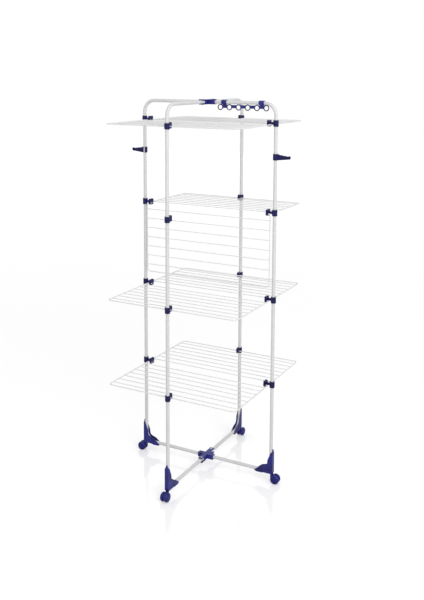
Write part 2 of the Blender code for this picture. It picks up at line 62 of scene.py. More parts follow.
joints = {joint["name"]: joint for joint in frame["joints"]}
CORNERS = {"left": ("main_frame", math.pi), "right": ("main_frame", 0.0),
           "front": ("front_leg", -math.pi / 2), "rear": ("rear_leg", math.pi / 2)}
ENDS = {"front": -1, "rear": 1}
LEVELS = range(1, 5)


def joint_place(name):
    """The point that a joint turns about, in the frame of the whole airer."""
    return Vector(joints[name]["pos_m"])


def wing_hinge(end, level):
    """The hinge of one wing."""
    return joint_place(f"{end}_wing_{level}_fold")


def facing(point, turn):
    """The matrix that takes a piece built towards +X to its place."""
    return Matrix.Translation(point) @ Matrix.Rotation(turn, 4, "Z")


# %% [markdown]
# ## Shapes from simple bodies
#
# Moulded plastic parts could be modelled by hand, polygon by polygon. Here each one is a sum of
# boxes, bars and plates less its holes, which a Boolean modifier joins. A Bevel modifier then rounds
# the edges, because a mould never gives a knife edge, and that thin round catches the light.

# %% Boxes, bars, plates and turned bodies
ROUND_SIDES = 48
OVERRUN = 0.004
WELD = 0.000002


def linked(data, name="construction"):
    """A new object in the scene; evaluated_mesh() uses up the construction objects."""
    item = bpy.data.objects.new(name, data)
    bpy.context.scene.collection.objects.link(item)
    return item


def from_bmesh(shape):
    mesh = bpy.data.meshes.new("construction")
    shape.to_mesh(mesh)
    shape.free()
    return linked(mesh)


def box(first, second):
    """A box between two opposite corners."""
    low, high = (Vector(map(pick, first, second)) for pick in (min, max))
    shape = bmesh.new()
    bmesh.ops.create_cube(shape, size=1)
    bmesh.ops.scale(shape, vec=high - low, verts=shape.verts)
    bmesh.ops.translate(shape, vec=(low + high) / 2, verts=shape.verts)
    return from_bmesh(shape)


def bar(start, end, radius, sides=ROUND_SIDES):
    """A round bar between two points."""
    start, end = Vector(start), Vector(end)
    turn = (end - start).to_track_quat("Z", "Y").to_matrix().to_4x4()
    shape = bmesh.new()
    bmesh.ops.create_cone(shape, cap_ends=True, segments=sides, radius1=radius, radius2=radius,
                          depth=(end - start).length,
                          matrix=Matrix.Translation((start + end) / 2) @ turn)
    return from_bmesh(shape)


def plate(outline, half_thickness, middle=0.0):
    """A flat plate whose outline, (x, z) pairs, lies in the X-Z plane."""
    shape = bmesh.new()
    rims = [[shape.verts.new((x, middle + side * half_thickness, z)) for x, z in outline]
            for side in (-1, 1)]
    shape.faces.new(rims[0])
    shape.faces.new(rims[1][::-1])
    for number in range(len(outline)):
        follower = (number + 1) % len(outline)
        shape.faces.new((rims[0][follower], rims[0][number], rims[1][number], rims[1][follower]))
    bmesh.ops.recalc_face_normals(shape, faces=shape.faces)
    return from_bmesh(shape)


def turned(profile, sides):
    """A closed turned body about Z, from (radius, height) pairs that start and end on the axis."""
    shape = bmesh.new()
    points = [shape.verts.new((radius, 0, height)) for radius, height in profile]
    edges = [shape.edges.new(pair) for pair in zip(points, points[1:])]
    bmesh.ops.spin(shape, geom=points + edges, cent=(0, 0, 0), axis=(0, 0, 1), angle=math.tau,
                   steps=sides)
    bmesh.ops.remove_doubles(shape, verts=shape.verts, dist=WELD)
    bmesh.ops.recalc_face_normals(shape, faces=shape.faces)
    return from_bmesh(shape)


# %% Rounded lines
def arc(before, corner, after, radius, steps):
    """The points of a round corner."""
    towards = (before - corner).normalized()
    onwards = (after - corner).normalized()
    half = towards.angle(onwards) / 2
    centre = corner + (towards + onwards).normalized() * radius / math.sin(half)
    first = corner + towards * radius / math.tan(half) - centre
    last = corner + onwards * radius / math.tan(half) - centre
    return [centre + first.slerp(last, step / steps).normalized() * radius
            for step in range(steps + 1)]


def rounded(corners, radius, steps):
    """An open line of points with every inner corner rounded."""
    corners = [Vector(corner) for corner in corners]
    points = [corners[0]]
    for before, corner, after in zip(corners, corners[1:], corners[2:]):
        points += arc(before, corner, after, radius, steps)
    return points + [corners[-1]]


def rounded_outline(corners, steps=6):
    """A closed outline of (x, z) pairs from (x, z, radius) corners; a radius of zero stays sharp."""
    places = [Vector((x, 0, z)) for x, z, _ in corners]
    outline = []
    for number, (x, z, radius) in enumerate(corners):
        if radius == 0:
            outline.append((x, z))
            continue
        after = places[(number + 1) % len(places)]
        for point in arc(places[number - 1], places[number], after, radius, steps):
            outline.append((point.x, point.z))
    return outline


# %% Joining, cutting and softening
SHARP_ANGLE = math.radians(32)
FLAT_ANGLE = math.radians(0.5)
EDGE_SEGMENTS = 3
COLLAR_EDGE = 0.0006
HEAVY_EDGE = 0.0011


def evaluated_mesh(item, *others):
    """The object's mesh with its modifiers applied; the objects given are then removed."""
    graph = bpy.context.evaluated_depsgraph_get()
    mesh = bpy.data.meshes.new_from_object(item.evaluated_get(graph))
    for used in (item, *others):
        bpy.data.objects.remove(used, do_unlink=True)
    return mesh


def solid(pieces, cutters=()):
    """One closed body: the union of the pieces, less the cutters."""
    base = pieces[0]
    for operation, group in (("UNION", pieces[1:]), ("DIFFERENCE", cutters)):
        for item in group:
            step = base.modifiers.new(operation, "BOOLEAN")
            step.operation = operation
            step.solver = "EXACT"
            step.object = item
    return evaluated_mesh(*pieces, *cutters)


def soften(mesh, width):
    """Round the edges of a moulded part and shade it smooth."""
    shape = bmesh.new()
    shape.from_mesh(mesh)
    bmesh.ops.remove_doubles(shape, verts=shape.verts, dist=WELD)
    bmesh.ops.dissolve_limit(shape, angle_limit=FLAT_ANGLE, verts=shape.verts, edges=shape.edges)
    item = from_bmesh(shape)
    item.data.shade_smooth()
    edge = item.modifiers.new("soft edges", "BEVEL")
    edge.width = width
    edge.segments = EDGE_SEGMENTS
    edge.limit_method = "ANGLE"
    edge.angle_limit = SHARP_ANGLE
    edge.miter_outer = "MITER_ARC"
    edge.harden_normals = True
    return evaluated_mesh(item)


def put(mesh, name, body, nodes, finish, place=None):
    """A finished piece: its place goes into a copy of the mesh, and it moves with a body."""
    mesh = mesh.copy()
    mesh.name = name
    mesh.transform(place or Matrix())
    mesh.materials.clear()
    mesh.materials.append(finish)
    item = linked(mesh, name)
    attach(item, body)
    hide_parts(*nodes)
    return item


def put_moulding(mesh, name, body, finish, place):
    """A moulded part, in place of the model's node of the same name."""
    return put(mesh, f"{name}_moulding", body, [name], finish, place)


# %% [markdown]
# ## Materials as sums
#
# A material is a small program of nodes. Dragging wires by hand is fine for one material, but sums
# are easier to read as Python. The class below wraps a socket, so that `0.3 + mask * 0.1` adds its
# own Math nodes. Numbers and colours that stay the same all over go straight on the shader.

# %% Nodes and their sockets
def socket_of(sockets, key):
    """A socket by its place, its identifier or its name."""
    if isinstance(key, int):
        return sockets[key]
    for socket in sockets:
        if socket.identifier == key:
            return socket
    return sockets[key]


def feed(tree, socket, value):
    """Link a socket to another one, or set its own value."""
    if isinstance(value, Level):
        value = value.socket
    if isinstance(value, bpy.types.NodeSocket):
        tree.links.new(value, socket)
    elif isinstance(value, tuple) and len(value) == 3 and socket.type == "RGBA":
        socket.default_value = (*value, 1)
    else:
        socket.default_value = value


def add_node(tree, kind, settings=None, values=None, output=0):
    """A new node: its settings first, then the values or links of its sockets."""
    made = tree.nodes.new(kind)
    for key, value in (settings or {}).items():
        setattr(made, key, value)
    for key, value in (values or {}).items():
        socket = socket_of(made.inputs, key)
        for item in value if isinstance(value, list) else [value]:
            feed(tree, socket, item)
    return socket_of(made.outputs, output)


# %% Sockets that can be added and multiplied
class Level:
    """A number that varies over the surface; sums with it add Math nodes."""

    def __init__(self, finish, socket):
        self.finish = finish
        self.socket = socket

    def math(self, operation, *values):
        return self.finish.node("ShaderNodeMath", {"operation": operation}, dict(enumerate(values)))

    def __add__(self, other):
        return self.math("ADD", self, other)

    def __mul__(self, other):
        return self.math("MULTIPLY", self, other)

    __radd__ = __add__
    __rmul__ = __mul__

    def between(self, low, high):
        """Zero at low, one at high, smooth in the middle."""
        values = {"Value": self, "From Min": low, "From Max": high}
        return self.finish.node("ShaderNodeMapRange", {"interpolation_type": "SMOOTHSTEP"}, values)


class Finish:
    """A material under construction."""

    def __init__(self, name):
        self.material = bpy.data.materials.new(name)
        self.material.use_nodes = True
        self.tree = self.material.node_tree
        self.shader = self.tree.nodes["Principled BSDF"]

    def node(self, *recipe, **output):
        """The output of a new node, as a Level."""
        return Level(self, add_node(self.tree, *recipe, **output))

    def place(self):
        return self.node("ShaderNodeTexCoord", output="Object")

    def stretched(self, scale):
        """Object coordinates, longer one way than another."""
        return self.node("ShaderNodeMapping", {}, {"Vector": self.place(), "Scale": scale})

    def noise(self, size, detail=2.0, place=None, roughness=0.5):
        """Soft noise whose lumps are about this many metres across."""
        values = {"Vector": place or self.place(), "Scale": 1 / size, "Detail": detail,
                  "Roughness": roughness}
        return self.node("ShaderNodeTexNoise", {}, values)

    def blend(self, share, first, second):
        """A colour between two colours."""
        values = {"Factor_Float": share, "A_Color": first, "B_Color": second}
        return self.node("ShaderNodeMix", {"data_type": "RGBA"}, values, "Result_Color")

    def bump(self, height, depth):
        """A normal bent by a height of so many metres."""
        return self.node("ShaderNodeBump", {}, {"Height": height, "Distance": depth})

    def set(self, **values):
        """Feed the shader's own sockets; an underscore stands for a space."""
        for key, value in values.items():
            feed(self.tree, self.shader.inputs[key.replace("_", " ")], value)
        return self.material


# %% [markdown]
# ## White powder coat
#
# Powder coat is melted on in an oven and keeps an orange-peel ripple about a millimetre wide.
# A flat white would look like paper, so a fine noise bends the normal, a wide one shifts the tone
# a little, and thin scuffs along the tubes change the roughness.

# %% The powder coat
TUBE_WHITE = (0.77, 0.77, 0.77)
TUBE_SHADE = (0.69, 0.695, 0.70)
WIRE_WHITE = (0.90, 0.90, 0.90)
WIRE_SHADE = (0.83, 0.835, 0.84)
COAT_GLOSS = 0.5


def powder_coat(name, light, shade, peel_size, peel_depth):
    coat = Finish(name)
    peel = coat.noise(peel_size, 1.0)
    tone = coat.noise(0.09, 3.0).between(0.35, 0.70)
    handled = coat.noise(0.012, 4.0, coat.stretched((1, 1, 0.15))).between(0.55, 0.72)
    colour = coat.blend(tone * 0.55 + handled * 0.25, light, shade)
    return coat.set(Base_Color=colour, Roughness=0.34 + tone * 0.08 + handled * 0.14,
                    Normal=coat.bump(peel, peel_depth), Specular_IOR_Level=COAT_GLOSS)


TUBE_COAT = powder_coat("tube powder coat", TUBE_WHITE, TUBE_SHADE, 0.0016, 0.00006)
WIRE_COAT = powder_coat("wire powder coat", WIRE_WHITE, WIRE_SHADE, 0.0009, 0.00004)

# %% [markdown]
# ## Blue moulded plastic
#
# The fittings are injection-moulded in a deep violet-blue. The mould leaves a fine spark-eroded
# grain, and use leaves small scuffs. Convex edges are painted paler, partly as wear and partly as
# a painted highlight. The Geometry node's pointiness finds those edges on the rounded meshes.

# %% The plastics
PLASTIC_BLUE = (0.020, 0.021, 0.245)
PLASTIC_DEEP = (0.010, 0.010, 0.115)
COLLAR_BLUE = (0.010, 0.008, 0.095)
COLLAR_DEEP = (0.006, 0.005, 0.050)
# Paler blue for scuffs, and for edges, where it is partly wear and partly a painted highlight
PLASTIC_WEAR_AND_HIGHLIGHT = (0.060, 0.062, 0.330)
HEAVY_GLOSS = 0.36
COLLAR_GLOSS = 0.25


def moulded_plastic(name, light, dark, edge_wear_and_highlight_share, scuff_share, gloss):
    plastic = Finish(name)
    grain = plastic.noise(0.00055, 1.0)
    ripple = plastic.noise(0.014, 2.0)
    tone = plastic.noise(0.035, 3.0).between(0.38, 0.66)
    scratches = plastic.noise(0.0035, 5.0, plastic.stretched((1, 0.35, 2.2)), 0.7).between(0.62, 0.76)
    # Paler convex edges: partly wear, partly a painted highlight where light would catch the rounds
    edges = plastic.node("ShaderNodeNewGeometry", output="Pointiness").between(0.51, 0.58)
    edge_wear_and_highlight = edges * edge_wear_and_highlight_share * plastic.noise(0.006, 4.0).between(0.35, 0.60)
    base = plastic.blend(tone, light, dark)
    colour = plastic.blend(edge_wear_and_highlight + scratches * scuff_share, base, PLASTIC_WEAR_AND_HIGHLIGHT)
    height = grain + ripple * 2.5
    return plastic.set(Base_Color=colour, Roughness=0.33 + tone * 0.06 + scratches * 0.18,
                       Normal=plastic.bump(height, 0.00004), Specular_IOR_Level=gloss)


BLUE_PLASTIC = moulded_plastic("blue moulded plastic", PLASTIC_BLUE, PLASTIC_DEEP, 0.30, 0.15,
                               HEAVY_GLOSS)
DARK_PLASTIC = moulded_plastic("dark blue plastic", COLLAR_BLUE, COLLAR_DEEP, 0.15, 0.06, COLLAR_GLOSS)
BUSH_PLASTIC = moulded_plastic("bush plastic", COLLAR_BLUE, COLLAR_DEEP, 0.0, 0.05, COLLAR_GLOSS)

# %% [markdown]
# ## Wheels and rivets
#
# A wheel wears on its tread and stays glossy on its domed face. The tread is told apart by an
# attribute on the mesh, which the material reads, because the wheels stand in four places.
# The pivot rivets are zinc-plated steel with a slightly cloudy shine.

# %% The wheel plastic and the zinc
TREAD = "tread"
WHEEL_DUST = (0.120, 0.120, 0.190)
ZINC_LIGHT = (0.62, 0.63, 0.65)
ZINC_DARK = (0.42, 0.43, 0.46)


def wheel_plastic():
    wheel = Finish("wheel plastic")
    tread = wheel.node("ShaderNodeAttribute", {"attribute_name": TREAD}, output="Fac")
    dust = tread * wheel.noise(0.004, 5.0, roughness=0.65).between(0.42, 0.68)
    tone = wheel.noise(0.02, 3.0)
    colour = wheel.blend(dust * 0.45, wheel.blend(tone, PLASTIC_BLUE, PLASTIC_DEEP), WHEEL_DUST)
    height = wheel.noise(0.0007, 1.0) * (0.4 + tread * 1.6)
    return wheel.set(Base_Color=colour, Roughness=0.24 + tread * 0.16 + dust * 0.25,
                     Normal=wheel.bump(height, 0.00005), Specular_IOR_Level=COLLAR_GLOSS)


def zinc():
    plated = Finish("zinc plated steel")
    cloud = plated.noise(0.0022, 4.0).between(0.35, 0.65)
    colour = plated.blend(cloud, ZINC_LIGHT, ZINC_DARK)
    return plated.set(Base_Color=colour, Metallic=1.0, Roughness=0.26 + cloud * 0.16,
                      Normal=plated.bump(plated.noise(0.0006), 0.00002))


WHEEL_PLASTIC = wheel_plastic()
ZINC = zinc()
print("finishes", len(bpy.data.materials))

# %% [markdown]
# ## The tube frames
#
# Each frame is 16 mm steel tube bent cold round a 55 mm former. A bent tube is a circle swept along
# a line with round corners, so a curve with a bevel makes it in one step. The tubes join inside the
# third level's collars, where the photograph hides the joint too.

# %% Bent tubes
TUBE_RADIUS = 0.008
BEND_RADIUS = 0.055
BEND_STEPS = 14
TUBE_SIDES = 32
ARM_TAIL = 0.010


def tube(points, radius, sides):
    """A round tube along a line of points, as a closed mesh."""
    curve = bpy.data.curves.new("construction", "CURVE")
    spline = curve.splines.new("POLY")
    spline.points.add(len(points) - 1)
    for target, point in zip(spline.points, points):
        target.co = (*point, 1)
    curve.dimensions = "3D"
    curve.bevel_depth = radius
    curve.bevel_resolution = (sides - 4) // 2
    curve.use_fill_caps = True
    mesh = evaluated_mesh(linked(curve))
    shape = bmesh.new()
    shape.from_mesh(mesh)
    bmesh.ops.remove_doubles(shape, verts=shape.verts, dist=WELD)
    bmesh.ops.recalc_face_normals(shape, faces=shape.faces)
    shape.to_mesh(mesh)
    shape.free()
    mesh.shade_smooth()
    mesh.set_sharp_from_angle(angle=SHARP_ANGLE)
    return mesh


def frame_tube(corners, name, body):
    """A frame's bent tube, in place of the model's node of the same name."""
    mesh = tube(rounded(corners, BEND_RADIUS, BEND_STEPS), TUBE_RADIUS, TUBE_SIDES)
    return put(mesh, f"{name}_smooth", body, [name], TUBE_COAT)


top_low, top_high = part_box("main_top_hoop")
base_low, base_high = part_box("main_base_hoop")
HALF_WIDTH = top_high.x - TUBE_RADIUS
TOP_HEIGHT = top_high.z - TUBE_RADIUS
BASE_HEIGHT = base_low.z + TUBE_RADIUS
for name, level, end in (("main_top_hoop", TOP_HEIGHT, top_low.z),
                         ("main_base_hoop", BASE_HEIGHT, base_high.z)):
    frame_tube([(-HALF_WIDTH, 0, end), (-HALF_WIDTH, 0, level), (HALF_WIDTH, 0, level),
                (HALF_WIDTH, 0, end)], name, "main_frame")
HALF_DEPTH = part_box("rear_leg_top_tube")[1].y - TUBE_RADIUS
for end, way in ENDS.items():
    tail = joint_place(f"{end}_leg_fold").y - way * ARM_TAIL
    post = way * HALF_DEPTH
    for part, level, side in (("top", TOP_HEIGHT, 0), ("base", BASE_HEIGHT, 1)):
        name = f"{end}_leg_{part}_tube"
        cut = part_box(name)[side].z
        frame_tube([(0, tail, level), (0, post, level), (0, post, cut)], name, f"{end}_leg")
print("posts at x", round(HALF_WIDTH, 4), "and y", round(HALF_DEPTH, 4), "top tube", round(TOP_HEIGHT, 4))

# %% [markdown]
# ## The wire wings
#
# A wing is one bent frame wire with seven thinner rungs welded across it. The rungs repeat by a
# rule, so Geometry Nodes is the right tool: a guide line is filleted and swept, one rung is drawn
# once and set on seven points, and a small bead marks every weld. All its sizes are named inputs.

# %% A small helper for node trees
class Tree:
    """A Geometry Nodes group whose inputs have names."""

    def __init__(self, name):
        self.group = bpy.data.node_groups.new(name, "GeometryNodeTree")
        for way in ("INPUT", "OUTPUT"):
            self.group.interface.new_socket("Geometry", in_out=way, socket_type="NodeSocketGeometry")
        self.entry = self.group.nodes.new("NodeGroupInput")
        self.exit = self.group.nodes.new("NodeGroupOutput")
        self.names = {}
        self.material = self.size("Material", "NodeSocketMaterial")

    def size(self, name, kind="NodeSocketFloat"):
        """A named input of the group."""
        socket = self.group.interface.new_socket(name, in_out="INPUT", socket_type=kind)
        self.names[name] = socket.identifier
        return self.entry.outputs[name]

    def sizes(self, *names):
        return [self.size(name) for name in names]

    def node(self, *recipe):
        """The output socket of a new node."""
        return add_node(self.group, *recipe)

    def sum(self, operation, first, second):
        return self.node("ShaderNodeMath", {"operation": operation}, {0: first, 1: second})

    def point(self, x=0.0, y=0.0, z=0.0):
        return self.node("ShaderNodeCombineXYZ", {}, {"X": x, "Y": y, "Z": z})

    def circle(self, radius, sides):
        return self.node("GeometryNodeCurvePrimitiveCircle", {"mode": "RADIUS"},
                         {"Resolution": sides, "Radius": radius})

    def wire(self, line, radius, sides):
        """A round wire along a curve."""
        return self.node("GeometryNodeCurveToMesh", {}, {"Curve": line, "Fill Caps": True,
                                                         "Profile Curve": self.circle(radius, sides)})

    def on_points(self, shape):
        """The shape on every point of the guide."""
        spots = self.node("GeometryNodeMeshToPoints", {}, {"Mesh": self.entry.outputs["Geometry"]})
        return self.node("GeometryNodeInstanceOnPoints", {}, {"Points": spots, "Instance": shape})

    def finish(self, *parts):
        """Join the parts, make them real and give them their material."""
        joined = self.node("GeometryNodeJoinGeometry", {}, {"Geometry": [*parts]})
        real = self.node("GeometryNodeRealizeInstances", {}, {"Geometry": joined})
        smooth = self.node("GeometryNodeSetShadeSmooth", {}, {"Geometry": real, "Shade Smooth": True})
        painted = self.node("GeometryNodeSetMaterial", {},
                            {"Geometry": smooth, "Material": self.material})
        self.group.links.new(painted, self.exit.inputs[0])

    def grow(self, guide, sizes):
        """Run the group on a guide mesh and give back the plain mesh."""
        item = linked(guide)
        step = item.modifiers.new(self.group.name, "NODES")
        step.node_group = self.group
        for name, value in sizes.items():
            step[self.names[name]] = value
        return evaluated_mesh(item)


def line_mesh(points):
    """A guide mesh: points joined in a line."""
    mesh = bpy.data.meshes.new("guide")
    edges = [(number, number + 1) for number in range(len(points) - 1)]
    mesh.from_pydata([tuple(point) for point in points], edges, [])
    return mesh


# %% The wing tree
WIRE_SIDES = 14
RUNG_SIDES = 12
CORNER_STEPS = 8
BEAD_SIDES, BEAD_RINGS = 12, 8
BEAD_SCALE = (1.25, 0.95, 0.95)


def wing_tree():
    """Frame wire along the guide, rungs across it and a bead at each weld."""
    tree = Tree("wire wing")
    half_width, first, pitch = tree.sizes("Half Width", "First Rung", "Rung Pitch")
    wire_radius, rung_radius, bead = tree.sizes("Wire Radius", "Rung Radius", "Bead Radius")
    corner_radius, pin_bend = tree.sizes("Corner Radius", "Pin Bend Radius")
    count = tree.size("Rung Count", "NodeSocketInt")

    curve = tree.node("GeometryNodeMeshToCurve", {}, {"Mesh": tree.entry.outputs["Geometry"]})
    start = tree.sum("MULTIPLY", first, -1.0)
    reach = tree.node("ShaderNodeSeparateXYZ", {}, {"Vector": tree.node("GeometryNodeInputPosition")}, "Y")
    outer = tree.node("FunctionNodeCompare", {"data_type": "FLOAT", "operation": "LESS_THAN"},
                      {"A": reach, "B": start})
    radius = tree.node("GeometryNodeSwitch", {"input_type": "FLOAT"},
                       {"Switch": outer, "False": pin_bend, "True": corner_radius})
    bent = tree.node("GeometryNodeFilletCurve", {"mode": "POLY"},
                     {"Curve": curve, "Count": CORNER_STEPS, "Radius": radius})
    frame_wire = tree.wire(bent, wire_radius, WIRE_SIDES)

    left = tree.sum("MULTIPLY", half_width, -1.0)
    line = tree.node("GeometryNodeCurvePrimitiveLine", {},
                     {"Start": tree.point(left), "End": tree.point(half_width)})
    rung = tree.wire(line, rung_radius, RUNG_SIDES)
    step = tree.point(0.0, tree.sum("MULTIPLY", pitch, -1.0))
    blob = tree.node("GeometryNodeMeshUVSphere", {},
                     {"Segments": BEAD_SIDES, "Rings": BEAD_RINGS, "Radius": bead}, "Mesh")

    def row(side, piece, scale=(1.0, 1.0, 1.0)):
        """A piece at the same place on every rung."""
        points = tree.node("GeometryNodeMeshLine", {"mode": "OFFSET"},
                           {"Count": count, "Start Location": tree.point(side, start), "Offset": step})
        return tree.node("GeometryNodeInstanceOnPoints", {},
                         {"Points": points, "Instance": piece, "Scale": scale})

    welds = [row(side, blob, BEAD_SCALE) for side in (half_width, left)]
    tree.finish(frame_wire, row(0.0, rung), *welds)
    return tree


# %% One wing, eight times
WIRE_RADIUS = 0.0025
RUNG_RADIUS = 0.002
BEAD_RADIUS = 0.0031
CORNER_RADIUS = 0.016
PIN_BEND_RADIUS = 0.004
RUNG_COUNT = 7
HINGE_TO_RUNG = 0.030
ROD_TO_RUNG = 0.036
PIN_INNER_X = 0.303

wing_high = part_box("rear_wing_1")[1]
WING_HALF_WIDTH = wing_high.x - WIRE_RADIUS
WING_REACH = wing_high.y - WIRE_RADIUS - wing_hinge("rear", 1).y
guide = line_mesh([(-PIN_INNER_X, 0, 0), (-WING_HALF_WIDTH, 0, 0), (-WING_HALF_WIDTH, -WING_REACH, 0),
                   (WING_HALF_WIDTH, -WING_REACH, 0), (WING_HALF_WIDTH, 0, 0), (PIN_INNER_X, 0, 0)])
wing_mesh = wing_tree().grow(guide, {
    "Half Width": WING_HALF_WIDTH, "Wire Radius": WIRE_RADIUS, "Rung Radius": RUNG_RADIUS,
    "Corner Radius": CORNER_RADIUS, "Pin Bend Radius": PIN_BEND_RADIUS,
    "First Rung": HINGE_TO_RUNG, "Rung Count": RUNG_COUNT, "Bead Radius": BEAD_RADIUS,
    "Rung Pitch": (WING_REACH - HINGE_TO_RUNG - ROD_TO_RUNG) / (RUNG_COUNT - 1),
    "Material": WIRE_COAT})
for end in ENDS:
    for level in LEVELS:
        low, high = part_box(f"{end}_wing_{level}")
        hangs = high.z - low.z > high.y - low.y
        place = facing(wing_hinge(end, level), 0.0 if end == "front" else math.pi)
        if hangs:
            place = place @ Matrix.Rotation(math.pi / 2, 4, "X")
        name = f"{end}_wing_{level}"
        put(wing_mesh, f"{name}_wire", name, [name], WIRE_COAT, place)
print("wing", len(wing_mesh.polygons), "faces, reach", round(WING_REACH, 4))

# %% [markdown]
# ## Collars, lugs and catches
#
# On the real airer a moulded collar grips each post. On a main post it carries a lug block, in
# which a front and a rear wing hinge side by side. On a leg post it carries a small jaw that snaps
# down over a raised wing's outer rod. Both are cut from simple bodies and softened.

# %% Wing brackets
CLEARANCE = 0.0003
TUBE_HOLE = TUBE_RADIUS + CLEARANCE
COLLAR_RADIUS = 0.012
COLLAR_HEIGHT = 0.028
LUG_IN = 0.038
LUG_WIDTH = 0.010
LUG_HALF_DEPTH = 0.0147
LUG_CORNER = 0.0055
LUG_NOTCH = 0.0045
WEB_HALF_DEPTH = 0.0035
WEB_HALF_HEIGHT = 0.0055
HINGE_OFFSET = 0.009
HINGE_DROP = 0.006
BUSH_RADIUS = 0.0045
PIN_BOSS_RADIUS = 0.0055
PIN_BOSS_HEIGHT = 0.0008
SEAM_WIDTH = 0.0007


def wing_bracket(hinge_radius):
    """A collar facing +X with its lug block towards the airer's middle."""
    half = COLLAR_HEIGHT / 2
    lug_in, lug_out = -LUG_IN, -LUG_IN + LUG_WIDTH
    collar = bar((0, 0, -half), (0, 0, half), COLLAR_RADIUS)
    web = box((lug_out - LUG_WIDTH / 2, -WEB_HALF_DEPTH, -WEB_HALF_HEIGHT),
              (-TUBE_RADIUS, WEB_HALF_DEPTH, WEB_HALF_HEIGHT))
    depth, notch = LUG_HALF_DEPTH, LUG_NOTCH
    block = rounded_outline([(-depth, -half, LUG_CORNER), (depth, -half, LUG_CORNER),
                             (depth, half, LUG_CORNER), (notch, half, notch / 2),
                             (0, half - notch * 2, notch / 2), (-notch, half, notch / 2),
                             (-depth, half, LUG_CORNER)])
    lug = plate(block, LUG_WIDTH / 2)
    lug.data.transform(facing(((lug_in + lug_out) / 2, 0, 0), math.pi / 2))
    bodies = [lug, web, collar]
    far = half + OVERRUN
    cuts = [bar((0, 0, -far), (0, 0, far), TUBE_HOLE)]
    seam = COLLAR_RADIUS - SEAM_WIDTH
    cuts.append(box((seam, -SEAM_WIDTH / 2, -far), (COLLAR_RADIUS + OVERRUN, SEAM_WIDTH / 2, far)))
    for way in ENDS.values():
        hinge = (way * HINGE_OFFSET, -HINGE_DROP)
        boss_end = lug_out + PIN_BOSS_HEIGHT
        bodies.append(bar((lug_out - OVERRUN, *hinge), (boss_end, *hinge), PIN_BOSS_RADIUS))
        cuts.append(bar((lug_in - OVERRUN, *hinge), (boss_end + OVERRUN / 2, *hinge),
                        hinge_radius + CLEARANCE))
    return soften(solid(bodies, cuts), COLLAR_EDGE)


brackets = {"left": wing_bracket(BUSH_RADIUS), "right": wing_bracket(WIRE_RADIUS)}
for side, mesh in brackets.items():
    way, turn = (-1, math.pi) if side == "left" else (1, 0.0)
    for level in LEVELS:
        name = f"{side}_wing_bracket_{level}"
        height = wing_hinge("rear", level).z + HINGE_DROP
        put_moulding(mesh, name, "main_frame", DARK_PLASTIC, facing((way * HALF_WIDTH, 0, height), turn))
print("bracket faces", len(brackets["left"].polygons))

# %% Catches on the leg posts
CATCH_TOP = 0.015
CATCH_BOTTOM = 0.011
LOBE_TOP = 0.018
LOBE_BOTTOM = 0.009
LOBE_REACH = 0.032
LOBE_NECK_TOP = 0.0085
LOBE_HALF_WIDTH = 0.005
LOBE_CORNER = 0.004
ROD_TO_POST = 0.014
ROD_GAP = 0.001


def catch():
    """A collar facing +X with the jaw that snaps over a wing's rod; height zero is the rod's."""
    collar = bar((0, 0, -CATCH_BOTTOM), (0, 0, CATCH_TOP), COLLAR_RADIUS)
    half_slot = WIRE_RADIUS + ROD_GAP
    neck = ROD_TO_POST + half_slot
    outline = rounded_outline([
        (-TUBE_RADIUS, LOBE_NECK_TOP, 0), (-neck, LOBE_NECK_TOP, LOBE_CORNER / 2),
        (-neck, LOBE_TOP, LOBE_CORNER), (-LOBE_REACH, LOBE_TOP, LOBE_CORNER * 1.5),
        (-LOBE_REACH, -LOBE_BOTTOM, LOBE_CORNER), (-TUBE_RADIUS, -LOBE_BOTTOM, 0)])
    bodies = [collar, plate(outline, LOBE_HALF_WIDTH)]
    side = COLLAR_RADIUS
    low = -CATCH_BOTTOM - OVERRUN
    cuts = [bar((0, 0, low), (0, 0, CATCH_TOP + OVERRUN), TUBE_HOLE),
            box((-ROD_TO_POST - half_slot, -side, low), (-ROD_TO_POST + half_slot, side, 0)),
            bar((-ROD_TO_POST, -side, 0), (-ROD_TO_POST, side, 0), half_slot)]
    for way in ENDS.values():
        sunk = way * (LOBE_HALF_WIDTH - SEAM_WIDTH)
        cuts.append(box((-LOBE_REACH + LOBE_CORNER, sunk, -LOBE_BOTTOM / 2),
                        (-neck - LOBE_CORNER, way * side, LOBE_NECK_TOP)))
    return soften(solid(bodies, cuts), COLLAR_EDGE)


catch_mesh = catch()
for end in ENDS:
    body, turn = CORNERS[end]
    for level in LEVELS:
        name = f"{end}_catch_{level}"
        post = (0, ENDS[end] * HALF_DEPTH, wing_hinge(end, level).z)
        put_moulding(catch_mesh, name, body, DARK_PLASTIC, facing(post, turn))
print("catch faces", len(catch_mesh.polygons))

# %% [markdown]
# ## The hubs and their rivets
#
# Where the frames cross, a moulded cross piece holds the main tube in a sleeve and each leg frame
# in a fork. A rivet through the fork and the leg's tube is the hinge on which the airer folds flat.
# The four rivets are one small tree of Geometry Nodes: a shank and two domed heads on each point.

# %% Hubs
HUB_HALF = 0.011
SLEEVE_HALF = 0.041
FORK_REACH = 0.065
PIVOT_OFFSET = abs(joint_place("front_leg_fold").y)
FORK_ROOT_GAP = 0.0007
NOTCH_RADIUS = 0.005
PIN_RADIUS = 0.003
PIN_HEAD_RADIUS = 0.0055
PIN_HEAD_HEIGHT = 0.0015
BOSS_RADIUS = 0.0088
BOSS_HEIGHT = 0.0009
WAIST_RADIUS = 0.006


